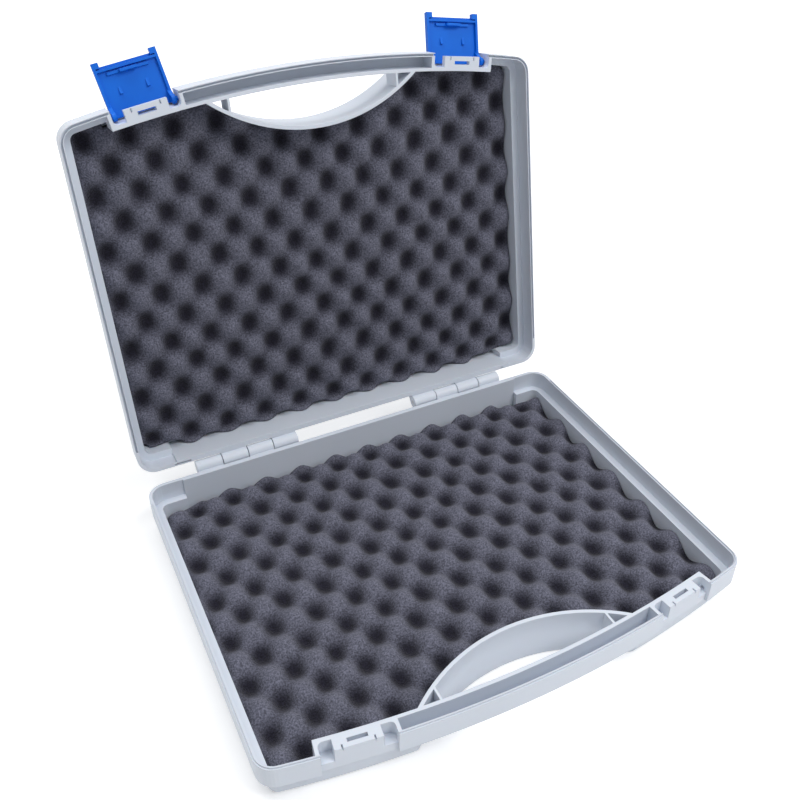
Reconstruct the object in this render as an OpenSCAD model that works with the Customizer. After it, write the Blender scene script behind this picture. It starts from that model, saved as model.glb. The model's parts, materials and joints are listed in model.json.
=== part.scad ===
// Open carry case: two half shells on a two-part back hinge, each lined with convoluted foam.
// Local shell frame: hinge edge along X at y = 0, handle towards -Y, rim plane at z = 0.

/* [Case] */
// Overall width along the hinge line
case_w = 340; // [320:1:380]
// Depth from the hinge edge to the crown of the handle
case_d = 267; // [255:1:300]
// Depth of one half shell, rim to underside
shell_h = 35; // [32:0.5:45]
// Shell wall thickness
wall = 2.5; // [2.2:0.1:3]
// Shell floor thickness
floor_t = 2.5; // [2:0.1:3]
// Height of the wide band below the rim
band_h = 16.5; // [15.5:0.5:18]
// How far the lower tray steps in from the band
band_step = 5; // [4:0.5:6]
// Plan radius of the shell corners
corner_r = 13; // [12.5:0.5:20]
// Plan radius of the bowed front edge
front_r = 804; // [700:1:1000]
// Rounding of the tray's bottom edge
tray_round = 5; // [3:0.5:5.5]

/* [Rim] */
// Gap between the two rims when closed
rim_gap = 0.1; // [0.05:0.05:0.3]
// Distance of the tongue from the outer face
tongue_in = 0.9; // [0.8:0.05:1]
// Tongue thickness
tongue_t = 0.7; // [0.5:0.1:0.8]
// Tongue height above the rim
tongue_h = 1; // [0.6:0.1:1.2]
// Clearance of the groove round the tongue
tongue_clear = 0.3; // [0.2:0.05:0.35]
// Depth of the groove in the lid's rim
groove_h = 2.4; // [1.6:0.1:3]

/* [Handle] */
// Thickness of the handle bar, front to back
grip_t = 12.6; // [11.5:0.1:15]
// Plan radius of the finger opening's back wall
finger_r = 117; // [100:1:140]
// Depth of the finger opening behind the bar
finger_d = 28; // [24:0.5:32]
// Distance of the two stiffening webs from the middle
web_x = 61; // [52:1:64]
// Thickness of a stiffening web
web_t = 1.6; // [1:0.1:2.5]

/* [Latch seat] */
// Distance of each latch seat's middle from the shell's end
seat_inset = 56.1; // [54:0.1:58]
// Width of the latch seat
seat_w = 44.7; // [44:0.1:46]
// Depth of the leg pockets behind the band's face
seat_d = 9.8; // [9.6:0.1:10.5]
// Depth of the shallow recess that the latch plate lies in
recess_d = 2.4; // [2.3:0.1:2.6]
// Width of one leg pocket
pocket_w = 8.15; // [8:0.05:9]
// Depth of the base's leg pockets below the rim
pocket_h = 10; // [8:0.1:12]
// Thickness of the lid's block at the rim
strip_h = 4; // [3:0.1:4.2]

/* [Latch] */
// Gap between the latch and each side of its seat
latch_gap = 1.35; // [1:0.05:1.6]
// Latch plate thickness
latch_t = 1.4; // [1.2:0.1:1.6]
// How far the plate stands out of the band
latch_proud = 1.6; // [1.5:0.1:1.8]
// Reach of the plate below the rim when closed
latch_reach = 23.2; // [22.8:0.1:24]
// Height of the side flanges over the plate
flange_h = 2.2; // [1.8:0.1:2.3]
// Height of the pivot above the rim when closed
pivot_up = 8; // [7.8:0.1:8.2]
// Depth of the pivot behind the band face
pivot_in = 6; // [5.8:0.1:6.2]
// Radius of the moulded pivot pin
pivot_r = 1.5; // [1.2:0.1:1.8]
// Radius of the boss round the pivot
eye_r = 2.8; // [2.6:0.1:3.4]
// Rest angle of the open latch from closed
latch_open = 103; // [95:1:105]

/* [Hinge] */
// Distance of the hinge axis behind the shells
hinge_back = 6; // [5.8:0.1:8]
// Outer radius of a hinge knuckle
barrel_r = 5; // [4:0.1:5.4]
// Radius of the hinge pin
pin_r = 1.5; // [1.2:0.1:2]
// Radial clearance of the pins in their bores
pin_clear = 0.05; // [0.02:0.01:0.1]
// Length of one hinge
hinge_l = 80; // [70:1:90]
// Distance of a hinge's outer end from the shell's end
hinge_inset = 39.5; // [32:0.5:45]
// Knuckles in one hinge
knuckles = 4; // [4:2:6]
// Gap between neighbouring knuckles
knuckle_gap = 0.6; // [0.4:0.1:1]
// Opening angle of the lid
lid_open = 100.7; // [90:0.1:110]

/* [Foam] */
// Foam thickness at a peak
foam_peak = 13; // [10:0.5:14]
// Foam thickness in a valley
foam_valley = 2.6; // [2:0.1:5]
// Spacing of the peaks along the width
foam_px = 28.6; // [24:0.1:36]
// Spacing of the peaks along the depth
foam_py = 36.6; // [28:0.1:44]
// Clearance of the foam in the shell
foam_clear = 0.3; // [0.2:0.1:1]

/* [Hidden] */
shell_col = "#c6cad0";
latch_col = "#1560d4";
foam_col = "#45434d";
pin_col = "#a9acb0";
big = 1000;
skin = 0.05;
corner_n = 8;
front_n = 24;
round_n = 4;
draft = 1;
seat_x = case_w/2 - seat_inset;
block_w = seat_w - 2*pocket_w;
latch_w = seat_w - 2*latch_gap;
hinge_x = case_w/2 - hinge_inset - hinge_l;
arc_y = front_r - case_d;
corner_x = case_w/2 - corner_r;
corner_y = arc_y - sqrt(pow(front_r - corner_r, 2) - pow(corner_x, 2));
front_turn = asin(corner_x/(front_r - corner_r));
finger_y = -(case_d - grip_t - finger_d) - finger_r;
seat_turn = asin(seat_x/(front_r - seat_d/2));
seat_half = asin((seat_w/2 + wall)/front_r);
inner_front = seat_d + wall;
low_in = band_step + wall + 0.5;
rim_z = -rim_gap/2;
ledge_z = -(band_h - wall);
cavity_z = -(shell_h - floor_t);
back_pad = 1.2;
pad_past = 12.5;
back_in = 20;
seat_round = 3;
pad_half = hinge_x + hinge_l + pad_past;
knuckle_w = hinge_l/knuckles;
foam_x = case_w/2 - low_in - foam_clear;
foam_back = low_in + foam_clear;
foam_rear = wall + back_pad + foam_clear;
foam_corner = 5;
pocket_x = (front_r - seat_d)*sin(seat_turn + seat_half) + foam_clear*3;
plate_top = pivot_up + 1;
plate_in = latch_t - latch_proud;
catch_air = 0.5;
hole_d = 1.5;

// Plan outline of the shell, drawn in by i all round
function bow(cx, cy, r, from, to, n) =
    [for (k = [0:n]) let (a = from + (to - from)*k/n) [cx + r*cos(a), cy + r*sin(a)]];
function outline(i) = concat(
    bow(corner_x, -corner_r, corner_r - i, 0, 90, corner_n),
    bow(-corner_x, -corner_r, corner_r - i, 90, 180, corner_n),
    bow(-corner_x, corner_y, corner_r - i, 180, 270 - front_turn, corner_n),
    [for (k = [1:front_n - 1]) let (a = 270 - front_turn + 2*front_turn*k/front_n)
        [(front_r - i)*cos(a), arc_y + (front_r - i)*sin(a)]],
    bow(corner_x, corner_y, corner_r - i, 270 + front_turn, 360, corner_n));

// Solid skinned over rings that all have the same number of points, bottom ring first
module loft(rings) {
    n = len(rings[0]);
    m = len(rings);
    pts = [for (r = rings) each r];
    sides = [for (j = [0:m - 2], i = [0:n - 1]) let (a = j*n + i, b = j*n + (i + 1)%n)
        each [[a, a + n, b], [b, a + n, b + n]]];
    bottom = [for (i = [0:n - 1]) i];
    top = [for (i = [0:n - 1]) m*n - 1 - i];
    polyhedron(pts, concat(sides, [bottom, top]));
}

function lift(ring, z) = [for (p = ring) [p[0], p[1], z]];

// Back wall between the hinge ends, which runs down without the tray's step
module back_wall() {
    half = pad_half + wall;
    top = wall/2 - band_h;
    translate([-half, 0, 0]) rotate([90, 0, 90]) linear_extrude(2*half)
        polygon(concat([[-back_in, top], [0, top]],
            bow(-tray_round, tray_round - shell_h, tray_round, 0, -90, round_n),
            [[-back_in, -shell_h]]));
}

// Lower tray with its rounded bottom edge
module tray_body() {
    round_rings = [for (k = [round_n:-1:0]) let (a = 90*k/round_n)
        lift(outline(band_step + draft + tray_round*(1 - cos(a))),
            -shell_h + tray_round*(1 - sin(a)))];
    difference() {
        loft(concat(round_rings, [lift(outline(band_step), -band_h + wall/2)]));
        translate([0, finger_y, -big/2]) cylinder(r = finger_r, h = big, $fn = 180);
    }
}

module front_circle(r) {
    translate([0, arc_y]) circle(r = r, $fn = 720);
}

module finger_circle(r) {
    translate([0, finger_y]) circle(r = r, $fn = 180);
}

// Wedge from the centre of the front arc, a degrees to each side
module front_wedge(a) {
    translate([0, arc_y]) polygon([[0, 0], [-big*sin(a), -big*cos(a)], [big*sin(a), -big*cos(a)]]);
}

// Part of the plan in front of the inner front wall, between the outer ends of the seats
module front_zone() {
    difference() {
        front_wedge(seat_turn + seat_half);
        front_circle(front_r - inner_front);
    }
}

// Frame of a latch seat: x along the front edge, y inwards from the band's face
module at_seat(side) {
    translate([0, arc_y, 0]) rotate([0, 0, side*seat_turn]) translate([0, -front_r, 0]) children();
}

module seat_plan() {
    r = seat_round;
    translate([-seat_w/2, -wall*2]) square([seat_w, seat_d + wall*2 - r]);
    translate([-seat_w/2 + r, -wall*2]) square([seat_w - 2*r, seat_d + wall*2]);
    for (s = [-1, 1]) translate([s*(seat_w/2 - r), seat_d - r]) circle(r = r, $fn = 40);
}

// Shallow recess for the latch plate, over the whole band
module recess_plan() {
    translate([-seat_w/2, -wall*2]) square([seat_w, recess_d + wall*2]);
}

// Block between the leg pockets, h high from the rim, with its slot and two notches
module block(h) {
    slot_w = 12;
    slot_d = 2.4;
    slot_y = 5.5;
    slot_h = 5;
    notch_x = 9.5;
    notch_w = 0.9;
    notch_d = 2.6;
    notch_h = 2.2;
    difference() {
        translate([-block_w/2, recess_d, -h]) cube([block_w, seat_d - recess_d + 1, h + rim_z]);
        translate([-slot_w/2, slot_y, -slot_h]) cube([slot_w, slot_d, slot_h + 1]);
        for (s = [-1, 1]) translate([s*notch_x - notch_w/2, recess_d - 1, -notch_h])
            cube([notch_w, notch_d + 1, notch_h + 1]);
    }
}

// Pivot holes in the two side walls of a seat
module pivot_holes() {
    for (s = [-1, 1]) translate([s*(seat_w/2 + hole_d/2 - skin), pivot_in, -pivot_up])
        rotate([0, 90, 0])
        cylinder(r = pivot_r + pin_clear, h = hole_d + 2*skin, center = true, $fn = 48);
}

// Finger opening between the bar and its back wall, with the two webs left standing
module finger_plan() {
    difference() {
        intersection() {
            finger_circle(finger_r);
            front_circle(front_r - grip_t);
        }
        for (s = [-1, 1]) translate([s*web_x - web_t/2, -case_d]) square([web_t, case_d]);
    }
}

// Trough inside the handle bar, open at the rim
module trough_plan() {
    intersection() {
        difference() {
            front_circle(front_r - wall);
            front_circle(front_r - grip_t + wall);
        }
        front_wedge(seat_turn - seat_half);
    }
}

module upper_cavity_plan() {
    difference() {
        polygon(outline(wall));
        front_zone();
        finger_circle(finger_r + wall);
        translate([-pad_half, -wall - back_pad]) square([2*pad_half, wall*2]);
    }
}

module lower_cavity_plan() {
    difference() {
        polygon(outline(low_in));
        front_zone();
        finger_circle(finger_r + wall);
    }
    translate([-pad_half, -low_in - 1]) square([2*pad_half, low_in + 1 - wall - back_pad]);
}

// Space under the latch seats, between the inner front line and the tray's front wall
module under_seat_plan() {
    difference() {
        intersection() {
            polygon(outline(low_in));
            front_wedge(seat_turn + seat_half);
        }
        front_circle(front_r - inner_front - skin*10);
        finger_circle(finger_r + wall);
    }
}

module prism(z0, z1) {
    translate([0, 0, z0]) linear_extrude(z1 - z0) children();
}

// Ring that runs round the rim except across the hinge edge
module rim_ring(from, to, z0, z1) {
    prism(z0, z1) intersection() {
        difference() {
            polygon(outline(from));
            polygon(outline(to));
        }
        translate([-case_w, -case_d*2]) square([case_w*2, case_d*2 - corner_r*1.5]);
    }
}

// One hinge knuckle seen from the end: barrel and its web to the back wall
module knuckle(x0, x1) {
    web_top = 0.4;
    web_foot = barrel_r*2.4;
    difference() {
        union() {
            translate([x0, hinge_back, 0]) rotate([0, 90, 0])
                cylinder(r = barrel_r, h = x1 - x0, $fn = 64);
            translate([x0, 0, 0]) rotate([90, 0, 90]) linear_extrude(x1 - x0)
                polygon([[-1, -web_top], [hinge_back, -web_top], [hinge_back, -barrel_r],
                    [-1, -web_foot]]);
        }
        translate([x0 - 1, hinge_back, 0]) rotate([0, 90, 0])
            cylinder(r = pin_r + pin_clear, h = x1 - x0 + 2, $fn = 48);
    }
}

// Knuckles of one shell: every second one, starting at first from the hinge's outer end
module knuckle_row(first) {
    for (s = [-1, 1], k = [first:2:knuckles - 1]) {
        outer = hinge_x + hinge_l - k*knuckle_w;
        a = s*(outer - knuckle_gap/2);
        b = s*(outer - knuckle_w + knuckle_gap/2);
        knuckle(min(a, b), max(a, b));
    }
}

// Half shell in its local frame, with pockets h deep and a block of height bh in each seat
module half_shell(first_knuckle, h, bh) {
    difference() {
        union() {
            prism(-band_h, rim_z) polygon(outline(0));
            tray_body();
            back_wall();
        }
        prism(ledge_z, 1) upper_cavity_plan();
        prism(cavity_z, ledge_z + skin) lower_cavity_plan();
        prism(cavity_z, -band_h - wall) under_seat_plan();
        prism(-band_h - 1, 1) finger_plan();
        prism(ledge_z, 1) trough_plan();
        for (s = [-1, 1]) at_seat(s) {
            prism(-band_h - skin, 1) recess_plan();
            prism(-h, 1) seat_plan();
            pivot_holes();
        }
    }
    for (s = [-1, 1]) at_seat(s) block(bh);
    knuckle_row(first_knuckle);
}

module base_local() {
    half_shell(0, pocket_h, pocket_h);
    difference() {
        rim_ring(tongue_in, tongue_in + tongue_t, rim_z - skin, tongue_h);
        for (s = [-1, 1]) at_seat(s) prism(-1, 2*tongue_h) seat_plan();
    }
}

// The lid is the same shell turned over, with a groove, deeper pockets and two core marks
module lid_local() {
    slot_l = 12;
    slot_t = 1.1;
    slot_h = 5;
    slot_past = 2;
    dot_r = 0.8;
    dot_h = 4;
    dot_past = 6;
    hinge_end = hinge_x + hinge_l;
    mirror([0, 0, 1]) difference() {
        half_shell(1, band_h, strip_h);
        rim_ring(tongue_in - tongue_clear, tongue_in + tongue_t + tongue_clear, -groove_h, 1);
        translate([-hinge_end - slot_past - slot_l, -wall/2 - slot_t/2, -slot_h])
            cube([slot_l, slot_t, slot_h + 1]);
        translate([hinge_end + dot_past, -wall/2, -dot_h])
            cylinder(r = dot_r, h = dot_h + 1, $fn = 24);
    }
}

module place_base() {
    translate([0, case_d/2, shell_h]) children();
}

module place_lid() {
    translate([0, case_d/2 + hinge_back, shell_h]) rotate([-lid_open, 0, 0])
        translate([0, -hinge_back, 0]) children();
}

// One side of the latch: flange, arm with its pivot boss and pin, ear and gusset
module latch_side(s) {
    flange_t = 1.8;
    arm_t = 2.6;
    arm_foot = 0;
    pin_past = hole_d - 0.3;
    ear_w = 4.5;
    ear_h = 2.8;
    gusset_x = 9;
    gusset_t = 2;
    gusset_z = -9.5;
    gusset_h = 5;
    eye_flat = eye_r - 0.2;
    x_arm = s > 0 ? latch_w/2 - arm_t : -latch_w/2;
    x_side = s > 0 ? latch_w/2 - flange_t : -latch_w/2;
    x_ear = s > 0 ? latch_w/2 - ear_w : -latch_w/2;
    x_pin = s > 0 ? latch_w/2 - 1 : -seat_w/2 - pin_past;
    translate([x_arm, 0, 0]) rotate([90, 0, 90]) linear_extrude(arm_t)
        polygon([[plate_in - skin, plate_top], [pivot_in, pivot_up + eye_flat],
            [pivot_in, pivot_up - eye_flat], [plate_in - skin, arm_foot]]);
    translate([x_arm, pivot_in, pivot_up]) rotate([0, 90, 0])
        cylinder(r = eye_r, h = arm_t, $fn = 48);
    translate([x_pin, pivot_in, pivot_up]) rotate([0, 90, 0])
        cylinder(r = pivot_r, h = seat_w/2 + pin_past - latch_w/2 + 1, $fn = 48);
    translate([x_side, plate_in - skin, -latch_reach])
        cube([flange_t, flange_h + skin, latch_reach + plate_top]);
    translate([x_ear, -latch_proud, -latch_reach - ear_h])
        cube([ear_w, latch_t + flange_h, ear_h + 1]);
    translate([s*gusset_x - gusset_t/2, plate_in - skin, gusset_z]) rotate([90, 0, 90])
        linear_extrude(gusset_t) polygon([[0, 0], [0, gusset_h], [flange_h*0.8, gusset_h]]);
}

// Cross rib of the latch, whose raised middle is the catch under the base's band
module latch_rib() {
    rib_l = 27;
    rib_t = 1.8;
    rib_y = 1.6;
    catch_l = 11;
    catch_y = 4.2;
    rib_z = -band_h - catch_air - rib_t;
    translate([-rib_l/2, plate_in - skin, rib_z]) cube([rib_l, rib_y, rib_t]);
    translate([-catch_l/2, plate_in - skin, rib_z]) cube([catch_l, catch_y, rib_t]);
}

// Latch drawn closed, in the frame of its seat, then swung open about its pivot
module latch(side) {
    lip_t = 1.5;
    lip_up = 1.8;
    at_seat(side) translate([0, pivot_in, pivot_up]) rotate([-latch_open, 0, 0])
        translate([0, -pivot_in, -pivot_up]) {
            translate([-latch_w/2, -latch_proud, -latch_reach])
                cube([latch_w, latch_t, latch_reach + plate_top]);
            latch_side(-1);
            latch_side(1);
            latch_rib();
            translate([1 - latch_w/2, plate_in - skin, lip_up - latch_reach])
                cube([latch_w - 2, flange_h, lip_t]);
        }
}

// Foam front edge for a column at x, as a distance from the hinge edge
function foam_front(x) =
    let (a = abs(x), line = front_r - inner_front - foam_clear,
        low = front_r - low_in - foam_clear,
        reach = finger_r + wall + foam_clear,
        far = -arc_y + sqrt(pow(a >= pocket_x ? low : line, 2) - a*a),
        bay = a < reach ? -finger_y - sqrt(reach*reach - a*a) : far)
    min(far, bay);

// Convoluted pad: columns across the width, rows front to back, peaks in a checkerboard
module foam_pad() {
    rows = 22;
    base_z = cavity_z + foam_clear;
    step = foam_px/4;
    half = floor((foam_x - step/3)/step);
    raw = concat([-foam_x], [for (k = [-half:half]) k*step], [foam_x]);
    xs = [for (x = raw) each abs(abs(x) - pocket_x) < step/2
        ? (x < 0 ? [-pocket_x, -pocket_x + 0.1] : [pocket_x - 0.1, pocket_x]) : [x]];
    n = len(xs);
    mid = (foam_peak + foam_valley)/2;
    amp = (foam_peak - foam_valley)/2;
    function cut(x) = max(0, foam_corner - (foam_x - abs(x)));
    function row_y(x, j) =
        let (v0 = (abs(x) < pocket_x ? foam_rear : foam_back) + cut(x), v1 = foam_front(x) - cut(x))
        v0 + (v1 - v0)*j/rows;
    top = [for (j = [0:rows], i = [0:n - 1]) let (x = xs[i], v = row_y(x, j))
        [x, -v, base_z + mid + amp*cos(360*x/foam_px)*cos(360*(v - foam_back)/foam_py)]];
    low = [for (j = [0, rows], i = [0:n - 1]) [xs[i], -row_y(xs[i], j), base_z]];
    t = len(top);
    last = rows*n;
    end = n - 1;
    faces = concat(
        [for (j = [0:rows - 1], i = [0:n - 2]) let (a = j*n + i)
            each [[a, a + 1, a + n], [a + 1, a + n + 1, a + n]]],
        [for (i = [0:n - 2]) each [[i + 1, i, t + i], [i + 1, t + i, t + i + 1]]],
        [for (i = [0:n - 2]) let (a = last + i, b = t + n + i) each [[a, a + 1, b + 1], [a, b + 1, b]]],
        [for (i = [0:n - 2]) let (a = t + i, b = a + n) each [[a, b, b + 1], [a, b + 1, a + 1]]],
        [for (j = [0:rows - 1]) each [[j*n, (j + 1)*n, t], [(j + 1)*n + end, j*n + end, t + end]]],
        [[last, t + n, t], [t + end, t + n + end, last + end]]);
    polyhedron(concat(top, low), faces);
}

module hinge_pin(side) {
    x0 = side > 0 ? hinge_x + knuckle_gap/2 : -hinge_x - hinge_l + knuckle_gap/2;
    translate([x0, hinge_back, 0]) rotate([0, 90, 0])
        cylinder(r = pin_r, h = hinge_l - knuckle_gap, $fn = 48);
}

module base_shell() {
    color(shell_col) place_base() base_local();
}

module lid_shell() {
    color(shell_col) place_lid() lid_local();
}

module base_foam() {
    color(foam_col) place_base() foam_pad();
}

module lid_foam() {
    color(foam_col) place_lid() mirror([0, 0, 1]) foam_pad();
}

module latch_left() {
    color(latch_col) place_lid() latch(-1);
}

module latch_right() {
    color(latch_col) place_lid() latch(1);
}

module hinge_pin_left() {
    color(pin_col) place_base() hinge_pin(-1);
}

module hinge_pin_right() {
    color(pin_col) place_base() hinge_pin(1);
}

base_shell();
lid_shell();
base_foam();
lid_foam();
latch_left();
latch_right();
hinge_pin_left();
hinge_pin_right();
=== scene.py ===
import json
import math
import bpy
import numpy as np
from mathutils import Matrix, Vector


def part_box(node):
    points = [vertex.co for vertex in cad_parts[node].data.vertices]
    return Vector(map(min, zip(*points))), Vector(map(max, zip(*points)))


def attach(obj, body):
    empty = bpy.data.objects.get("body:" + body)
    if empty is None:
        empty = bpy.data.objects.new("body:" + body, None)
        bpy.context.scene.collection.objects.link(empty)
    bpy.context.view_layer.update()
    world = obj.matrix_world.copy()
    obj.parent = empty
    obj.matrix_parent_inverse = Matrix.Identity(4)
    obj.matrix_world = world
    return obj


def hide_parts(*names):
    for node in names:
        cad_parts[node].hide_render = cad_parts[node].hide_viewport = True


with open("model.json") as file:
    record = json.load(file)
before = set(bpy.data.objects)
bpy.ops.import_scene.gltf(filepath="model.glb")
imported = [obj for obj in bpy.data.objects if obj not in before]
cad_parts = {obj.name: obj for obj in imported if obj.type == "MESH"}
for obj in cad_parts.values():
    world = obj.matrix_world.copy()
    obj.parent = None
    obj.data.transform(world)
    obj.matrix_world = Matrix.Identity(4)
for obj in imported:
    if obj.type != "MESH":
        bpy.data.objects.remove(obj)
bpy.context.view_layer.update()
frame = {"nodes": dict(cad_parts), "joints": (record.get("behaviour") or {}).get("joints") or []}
scene = bpy.context.scene
mm = 0.001


# Linear RGBA from an sRGB hex colour, by the standard sRGB curve
def linear(code):
    parts = [int(code[k:k + 2], 16) / 255 for k in (1, 3, 5)]
    return [v / 12.92 if v <= 0.04045 else ((v + 0.055) / 1.055) ** 2.4 for v in parts] + [1.0]


# One shader node with its settings, its input values and its incoming links
def addNode(tree, kind, inputs=None, **settings):
    made = tree.nodes.new(kind)
    for name, value in settings.items():
        setattr(made, name, value)
    for name, value in (inputs or {}).items():
        if isinstance(value, bpy.types.NodeSocket):
            tree.links.new(value, made.inputs[name])
        else:
            made.inputs[name].default_value = value
    return made


def newMaterial(name):
    material = bpy.data.materials.new(name)
    material.use_nodes = True
    material.node_tree.nodes.clear()
    return material, material.node_tree


def finishMaterial(tree, shader):
    addNode(tree, "ShaderNodeOutputMaterial", {"Surface": shader.outputs[0]})


# Where the case is, read from the frame, with the plan sizes of its shells
lidJoint = next(j for j in frame["joints"] if j["name"] == "lid_hinge")
hingeY, rimZ = lidJoint["pos_m"][1], lidJoint["pos_m"][2]
lidTurn = math.radians(lidJoint["range_deg"][1])
baseFoamLow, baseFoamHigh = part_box("base_foam")

case = {"hingeBack": 6 * mm, "frontR": 804 * mm, "depth": 267 * mm,
        "fingerR": 122.3 * mm, "fingerY": 343.4 * mm, "rib": 2.5 * mm,
        "innerFront": 12.6 * mm, "pocketFront": 8.3 * mm}
edgeY = hingeY - case["hingeBack"]
print("frame read")


# Shells and latches: injection moulded polypropylene. Moulding leaves a satin skin with
# soft edges and a faint cloudy flow tone. The grain is 0.4 to 0.6 mm across, coarser
# than real spark erosion, so that it shows in the render.
moulding = {"flowDetail": 3.0, "flowLow": 0.35, "flowHigh": 0.65, "grainDetail": 2.0,
            "roughSpread": 0.05, "relief": 0.05 * mm, "scatter": 1.5 * mm, "edgeSamples": 4}
shellLook = {"low": "#cad1dc", "high": "#d6dce6", "flowScale": 9.0, "grainScale": 2600.0,
             "grainDepth": 0.25, "rough": 0.42, "edge": 0.5 * mm, "milky": 0.05, "shine": 0.45}
latchLook = {"low": "#005fca", "high": "#066bd8", "flowScale": 60.0, "grainScale": 1800.0,
             "grainDepth": 0.12, "rough": 0.4, "edge": 0.35 * mm, "milky": 0.0, "shine": 0.2}


def injectionMoulded(name, look):
    material, tree = newMaterial(name)
    place = addNode(tree, "ShaderNodeTexCoord").outputs["Object"]
    flow = addNode(tree, "ShaderNodeTexNoise",
                   {"Vector": place, "Scale": look["flowScale"], "Detail": moulding["flowDetail"]})
    grain = addNode(tree, "ShaderNodeTexNoise",
                    {"Vector": place, "Scale": look["grainScale"], "Detail": moulding["grainDetail"]})
    tone = addNode(tree, "ShaderNodeMix",
                   {0: flow.outputs["Fac"], 6: linear(look["low"]), 7: linear(look["high"])},
                   data_type="RGBA")
    rough = addNode(tree, "ShaderNodeMapRange",
                    {"Value": flow.outputs["Fac"],
                     "From Min": moulding["flowLow"], "From Max": moulding["flowHigh"],
                     "To Min": look["rough"] - moulding["roughSpread"],
                     "To Max": look["rough"] + moulding["roughSpread"]})
    edge = addNode(tree, "ShaderNodeBevel", {"Radius": look["edge"]}, samples=moulding["edgeSamples"])
    bump = addNode(tree, "ShaderNodeBump",
                   {"Height": grain.outputs["Fac"], "Strength": look["grainDepth"],
                    "Distance": moulding["relief"], "Normal": edge.outputs[0]})
    shader = addNode(tree, "ShaderNodeBsdfPrincipled",
                     {"Base Color": tone.outputs[2], "Roughness": rough.outputs[0],
                      "Normal": bump.outputs[0], "Specular IOR Level": look["shine"],
                      "Subsurface Weight": look["milky"], "Subsurface Scale": moulding["scatter"]})
    finishMaterial(tree, shader)
    return material


shellMaterial = injectionMoulded("injection moulded satin polypropylene", shellLook)
latchMaterial = injectionMoulded("injection moulded glossy polypropylene", latchLook)


# Hinge pins: drawn steel wire, with fine lines along its length. The lines are about
# 0.25 mm apart, coarser than real drawing marks, so that they show.
wireLook = {"colour": "#b9bbbf", "lines": (40.0, 4000.0, 4000.0), "detail": 2.0,
            "smooth": 0.22, "rough": 0.42}


def drawnSteel():
    material, tree = newMaterial("drawn steel wire")
    place = addNode(tree, "ShaderNodeTexCoord").outputs["Object"]
    along = addNode(tree, "ShaderNodeMapping", {"Vector": place, "Scale": wireLook["lines"]})
    lines = addNode(tree, "ShaderNodeTexNoise",
                    {"Vector": along.outputs[0], "Scale": 1.0, "Detail": wireLook["detail"]})
    rough = addNode(tree, "ShaderNodeMapRange",
                    {"Value": lines.outputs["Fac"],
                     "To Min": wireLook["smooth"], "To Max": wireLook["rough"]})
    shader = addNode(tree, "ShaderNodeBsdfPrincipled",
                     {"Base Color": linear(wireLook["colour"]), "Metallic": 1.0,
                      "Roughness": rough.outputs[0]})
    finishMaterial(tree, shader)
    return material


# Foam pads: convoluted open cell polyurethane foam. Cutting leaves torn pores with no
# shine. The peaks are painted lighter, partly a dusty bloom and partly painted light, and
# the dimples are painted darker as painted shade. Pores and specks are about
# 1 mm, coarser than the real cells, so that they show.
# valley is the colour of painted shade in the dimples; peak is painted light with some dust on the peaks
foamLook = {"valley": "#1e1d28", "peak": "#636472", "pore": 950.0,
            "speck": 900.0, "speckDetail": 2.0, "speckLow": 0.35, "speckHigh": 0.68,
            "dim": 0.6, "bright": 1.5,
            "cloud": 80.0, "cloudDetail": 4.0, "cloudShare": 0.25,
            "shadeLow": 0.2, "shadeHigh": 0.95,
            "relief": 0.5 * mm, "reliefStrength": 0.9,
            "shine": 0.15, "bloom": 0.08, "bloomRough": 0.6}


# The foam's colour follows the height attribute of the pads, from 0 in a dimple to 1 on a peak:
# painted shade in the dimples and on the pads' sides, painted light with some dust on the peaks
def openCellFoam():
    material, tree = newMaterial("convoluted open cell polyurethane foam")
    place = addNode(tree, "ShaderNodeTexCoord").outputs["Object"]
    height = addNode(tree, "ShaderNodeAttribute", attribute_name="height").outputs["Fac"]
    pores = addNode(tree, "ShaderNodeTexVoronoi", {"Vector": place, "Scale": foamLook["pore"]})
    speck = addNode(tree, "ShaderNodeTexNoise",
                    {"Vector": place, "Scale": foamLook["speck"], "Detail": foamLook["speckDetail"]})
    cloud = addNode(tree, "ShaderNodeTexNoise",
                    {"Vector": place, "Scale": foamLook["cloud"], "Detail": foamLook["cloudDetail"]})
    shade = addNode(tree, "ShaderNodeMath",
                    {0: cloud.outputs["Fac"], 1: foamLook["cloudShare"], 2: height},
                    operation="MULTIPLY_ADD")
    # Mix factor: painted light on the peaks and painted shade in the dimples, with dust and the cloud's
    # random tone
    paintedLightAndDust = addNode(tree, "ShaderNodeMapRange",
                   {"Value": shade.outputs[0],
                    "From Min": foamLook["shadeLow"], "From Max": foamLook["shadeHigh"]},
                   interpolation_type="SMOOTHSTEP")
    tone = addNode(tree, "ShaderNodeMix",
                   {0: paintedLightAndDust.outputs[0], 6: linear(foamLook["valley"]), 7: linear(foamLook["peak"])},
                   data_type="RGBA")
    spark = addNode(tree, "ShaderNodeMapRange",
                    {"Value": speck.outputs["Fac"],
                     "From Min": foamLook["speckLow"], "From Max": foamLook["speckHigh"],
                     "To Min": foamLook["dim"], "To Max": foamLook["bright"]})
    toned = addNode(tree, "ShaderNodeVectorMath",
                    {0: tone.outputs[2], "Scale": spark.outputs[0]}, operation="SCALE")
    relief = addNode(tree, "ShaderNodeMath",
                     {0: pores.outputs["Distance"], 1: speck.outputs["Fac"]}, operation="ADD")
    bump = addNode(tree, "ShaderNodeBump",
                   {"Height": relief.outputs[0], "Strength": foamLook["reliefStrength"],
                    "Distance": foamLook["relief"]})
    shader = addNode(tree, "ShaderNodeBsdfPrincipled",
                     {"Base Color": toned.outputs[0], "Roughness": 1.0,
                      "Specular IOR Level": foamLook["shine"],
                      "Sheen Weight": foamLook["bloom"], "Sheen Roughness": foamLook["bloomRough"],
                      "Normal": bump.outputs[0]})
    finishMaterial(tree, shader)
    return material


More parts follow.
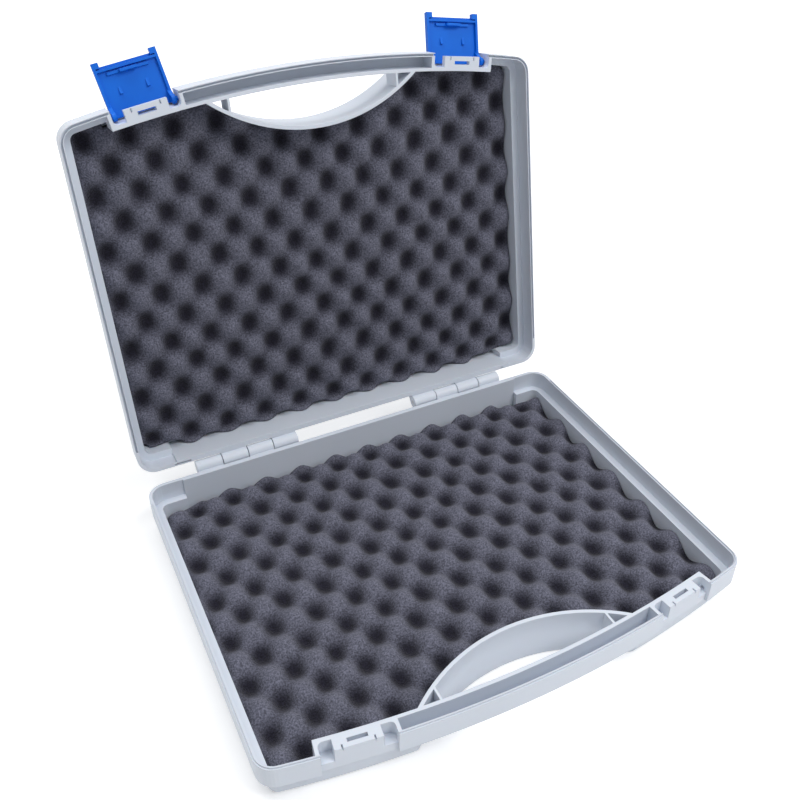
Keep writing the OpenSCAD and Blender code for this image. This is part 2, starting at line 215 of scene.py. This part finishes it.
steelMaterial = drawnSteel()
foamMaterial = openCellFoam()
for nodeName, material in (("base_shell", shellMaterial), ("lid_shell", shellMaterial),
                           ("latch_left", latchMaterial), ("latch_right", latchMaterial),
                           ("hinge_pin_left", steelMaterial), ("hinge_pin_right", steelMaterial)):
    piece = frame["nodes"][nodeName]
    piece.data.materials.clear()
    piece.data.materials.append(material)
print("moulded parts finished")


# Points of the base from x, v (back to front from the hinge edge) and w (above the rim)
def toBase(x, v, w):
    return np.stack([x, edgeY - v, rimZ + w], axis=-1)


# The same points in the lid: turned over, then swung open about the hinge by the joint's range
def toLid(x, v, w):
    y, z = -(v + hingeY - edgeY), -w
    cosine, sine = math.cos(lidTurn), math.sin(lidTurn)
    return np.stack([x, hingeY + y * cosine + z * sine, rimZ - y * sine + z * cosine], axis=-1)


# Both pads: edges, rows and the eased product of two cosines that makes their peaks
foam = {"cell": 1.25 * mm, "rows": 192, "valley": 2.6 * mm, "ease": 0.9,
        "sideAir": 0.3 * mm, "frontAir": 0.2 * mm, "topAir": 0.1 * mm,
        "corner": 5 * mm, "pocketX": 139.9 * mm, "kink": 0.05 * mm, "kinkMiddle": 0.02 * mm,
        "jogFrom": 126 * mm, "jogLength": 16 * mm, "jogDepth": 4.3 * mm,
        "pinch": 7 * mm, "pinchReach": 4 * mm, "sideShade": 0.4,
        "swayX": 0.6 * mm, "swayXAcross": 21 * mm, "swayXBack": 50 / 3 * mm,
        "swayV": 0.5 * mm, "swayVAcross": 43 * mm, "swayVBack": 17 * mm}
baseRows = {"across": 28.5 * mm, "back": 36.6 * mm, "startX": -138.35 * mm, "startV": 30 * mm}
lidRows = {"across": 29.5 * mm, "back": 37.2 * mm, "startX": -139.25 * mm, "startV": 198 * mm}


# Front edge of a pad, as its distance from the hinge edge: the nearer one of the bowed
# front, which runs deeper beside the latch seats, and the arc round the finger opening
def foamFront(x):
    side = np.abs(x)
    inset = np.where(side >= foam["pocketX"] + foam["kinkMiddle"], case["pocketFront"], case["innerFront"])
    bow = np.sqrt((case["frontR"] - inset) ** 2 - side ** 2) - (case["frontR"] - case["depth"])
    reach = case["fingerR"] - case["rib"]
    bay = case["fingerY"] - np.sqrt(np.maximum(reach ** 2 - side ** 2, 0))
    return np.where(side < reach, np.minimum(bow, bay), bow)


# A grid's points and faces as one closed mesh: quads over the grid and one face over its rim
def closedGrid(name, grid, flip):
    rows, columns = grid.shape[:2]
    index = np.arange(rows * columns).reshape(rows, columns)
    quads = np.stack([index[:-1, :-1], index[1:, :-1], index[1:, 1:], index[:-1, 1:]], axis=-1)
    quads = quads.reshape(-1, 4)
    rim = np.concatenate([index[0, :], index[1:, -1], index[-1, -2::-1], index[-2:0:-1, 0]])
    if flip:
        quads, rim = quads[:, ::-1], rim[::-1]
    corners = np.concatenate([quads.ravel(), rim])
    starts = np.append(np.arange(len(quads)) * 4, len(quads) * 4)
    mesh = bpy.data.meshes.new(name)
    mesh.vertices.add(rows * columns)
    mesh.vertices.foreach_set("co", grid.astype(np.float32).ravel())
    mesh.loops.add(len(corners))
    mesh.loops.foreach_set("vertex_index", corners.astype(np.int32))
    mesh.polygons.add(len(starts))
    mesh.polygons.foreach_set("loop_start", starts.astype(np.int32))
    mesh.polygons.foreach_set("use_smooth", np.ones(len(starts), bool))
    return mesh


# Convoluted pad. Its height is the valley plus the eased half of 1 + cos(x) cos(v), with
# both waves swaying a little. Near the back edge the waves are pinched, so that the edge
# itself runs in scallops. A rim of points drops to the floor and closes the sides.
def foamPad(name, body, node, place, rows):
    halfX = baseFoamHigh[0] - foam["sideAir"]
    backV = edgeY - baseFoamHigh[1] + foam["sideAir"]
    floorW = baseFoamLow[2] - rimZ + foam["topAir"]
    peakW = baseFoamHigh[2] - rimZ - foam["topAir"]
    valleyW = floorW + foam["valley"]

    kink = foam["pocketX"] + foam["kink"]
    x = np.arange(-halfX, halfX, foam["cell"])
    x = np.sort(np.append(x, [halfX, foam["pocketX"], kink, -foam["pocketX"], -kink]))
    front = foamFront(x) - foam["frontAir"]
    jog = np.clip((np.abs(x) - foam["jogFrom"]) / foam["jogLength"], 0, 1)
    rear = backV + foam["jogDepth"] * jog * jog * (3 - 2 * jog)
    trim = np.maximum(0, foam["corner"] - (halfX - np.abs(x)))
    t = np.linspace(0, 1, foam["rows"])[:, None]
    v = (rear + trim)[None] * (1 - t) + (front - trim)[None] * t
    x = np.broadcast_to(x, v.shape)

    sway = (foam["swayX"] * np.sin(x / foam["swayXAcross"] + v / foam["swayXBack"])
            + foam["swayV"] * np.sin(v / foam["swayVBack"] - x / foam["swayVAcross"]))
    pinch = foam["pinch"] * np.exp((rear - v) / foam["pinchReach"])
    wave = (np.cos(2 * math.pi * (x + sway - rows["startX"]) / rows["across"])
            * np.cos(2 * math.pi * (v + sway - pinch - rows["startV"]) / rows["back"]))
    level = ((1 + wave) / 2) ** foam["ease"]
    top = place(x, v, valleyW + (peakW - valleyW) * level)
    bottom = place(x, v, np.full_like(v, floorW))

    around = ((1, 1), (1, 1), (0, 0))
    grid, bottom = np.pad(top, around, mode="edge"), np.pad(bottom, around, mode="edge")
    rim = np.ones(grid.shape[:2], bool)
    rim[1:-1, 1:-1] = False
    grid[rim] = bottom[rim]
    mesh = closedGrid(name, grid, place is toLid)
    # Painted shade on the pads' sides: the rim points' height is dimmed by sideShade, so they take the
    # darker colour
    heights = np.pad(level, 1, mode="edge") * np.where(rim, foam["sideShade"], 1.0)
    attribute = mesh.attributes.new("height", "FLOAT", "POINT")
    attribute.data.foreach_set("value", heights.astype(np.float32).ravel())
    mesh.update(calc_edges=True)
    mesh.validate()
    mesh.materials.append(foamMaterial)
    pad = bpy.data.objects.new(name, mesh)
    scene.collection.objects.link(pad)
    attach(pad, body)
    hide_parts(node)


foamPad("base_foam_pad", "base", "base_foam", toBase, baseRows)
foamPad("lid_foam_pad", "lid", "lid_foam", toLid, lidRows)
print("foam laid")


# Floor: a matte white sweep. Camera rays see it lifted towards white, more so far away,
# so that it meets the white backdrop and keeps the case's shadow.
floorLook = {"half": 6.0, "drop": 0.5 * mm, "colour": "#f4f4f4",
             "near": 0.4, "far": 1.6, "nearLift": 0.3, "farLift": 0.75}
pureWhite = (1.0, 1.0, 1.0, 1.0)


# 1 for camera, mirror and glass rays, which should meet a white studio
def seenDirectly(tree):
    rays = addNode(tree, "ShaderNodeLightPath")
    first = addNode(tree, "ShaderNodeMath",
                    {0: rays.outputs["Is Camera Ray"], 1: rays.outputs["Is Glossy Ray"]},
                    operation="ADD")
    return addNode(tree, "ShaderNodeMath",
                   {0: first.outputs[0], 1: rays.outputs["Is Transmission Ray"]},
                   operation="ADD", use_clamp=True).outputs[0]


floorMesh = bpy.data.meshes.new("floor")
edge = floorLook["half"]
floorMesh.from_pydata([(-edge, -edge, 0), (edge, -edge, 0), (edge, edge, 0), (-edge, edge, 0)],
                      [], [(0, 1, 2, 3)])
floor = bpy.data.objects.new("floor", floorMesh)
floor.location.z = -floorLook["drop"]
scene.collection.objects.link(floor)
floorMaterial, tree = newMaterial("matte white paper sweep")
paper = addNode(tree, "ShaderNodeBsdfDiffuse", {"Color": linear(floorLook["colour"])})
spot = addNode(tree, "ShaderNodeTexCoord").outputs["Object"]
away = addNode(tree, "ShaderNodeVectorMath", {0: spot}, operation="LENGTH")
lift = addNode(tree, "ShaderNodeMapRange",
               {"Value": away.outputs["Value"],
                "From Min": floorLook["near"], "From Max": floorLook["far"],
                "To Min": floorLook["nearLift"], "To Max": floorLook["farLift"]})
glow = addNode(tree, "ShaderNodeEmission", {"Color": pureWhite, "Strength": lift.outputs[0]})
both = addNode(tree, "ShaderNodeAddShader", {0: paper.outputs[0], 1: glow.outputs[0]})
seen = seenDirectly(tree)
finishMaterial(tree, addNode(tree, "ShaderNodeMixShader",
                             {0: seen, 1: paper.outputs[0], 2: both.outputs[0]}))
floorMesh.materials.append(floorMaterial)


# Light: a dim cool dome that reads as white where it is seen, and two softboxes
light = {"dome": (0.97, 0.985, 1.0, 1.0), "domeStrength": 0.4, "target": (0, 0.03, 0.1)}
softboxes = (("key", (0.7, -1.0, 1.7), 0.9, 20), ("overhead", (-0.3, 0.5, 1.9), 1.2, 18))

world = bpy.data.worlds.new("studio")
world.use_nodes = True
scene.world = world
tree = world.node_tree
tree.nodes.clear()
dome = addNode(tree, "ShaderNodeBackground", {"Color": light["dome"], "Strength": light["domeStrength"]})
white = addNode(tree, "ShaderNodeBackground", {"Color": pureWhite, "Strength": 1.0})
shown = addNode(tree, "ShaderNodeMixShader",
                {0: seenDirectly(tree), 1: dome.outputs[0], 2: white.outputs[0]})
addNode(tree, "ShaderNodeOutputWorld", {"Surface": shown.outputs[0]})

for name, place, size, power in softboxes:
    softbox = bpy.data.lights.new(name, "AREA")
    softbox.shape = "SQUARE"
    softbox.size = size
    softbox.energy = power
    lamp = bpy.data.objects.new(name, softbox)
    lamp.location = place
    toTarget = Vector(light["target"]) - Vector(place)
    lamp.rotation_euler = toTarget.to_track_quat("-Z", "Y").to_euler()
    scene.collection.objects.link(lamp)


# Camera: the fit of the case's edges to the photograph. Azimuth, elevation and roll are in
# degrees. The focal length and the picture's centre are in pixels of the 800 pixel frame.
view = {"azimuth": -27.37, "elevation": 35.73, "roll": 0.56, "distance": 716.19 * mm,
        "target": (45.74 * mm, 120.06 * mm, 74.51 * mm), "focal": 920.77,
        "centreX": 418.5, "centreY": 376.9, "picture": 800, "sensor": 36, "clipStart": 0.01}
azimuth, elevation, roll = (math.radians(view[k]) for k in ("azimuth", "elevation", "roll"))
back = Vector((math.sin(azimuth) * math.cos(elevation),
               -math.cos(azimuth) * math.cos(elevation), math.sin(elevation)))
right = Vector((0, 0, 1)).cross(back).normalized()
up = back.cross(right)
right, up = (right * math.cos(roll) + up * math.sin(roll),
             up * math.cos(roll) - right * math.sin(roll))
camera = bpy.data.objects.new("camera", bpy.data.cameras.new("camera"))
turned = Matrix((right, up, back)).transposed().to_4x4()
camera.matrix_world = Matrix.Translation(Vector(view["target"]) + back * view["distance"]) @ turned
camera.data.sensor_width = view["sensor"]
camera.data.lens = view["sensor"] * view["focal"] / view["picture"]
camera.data.shift_x = (view["picture"] / 2 - view["centreX"]) / view["picture"]
camera.data.shift_y = (view["centreY"] - view["picture"] / 2) / view["picture"]
camera.data.clip_start = view["clipStart"]
scene.collection.objects.link(camera)
scene.camera = camera

scene.view_settings.view_transform = "Standard"
print("stage set")
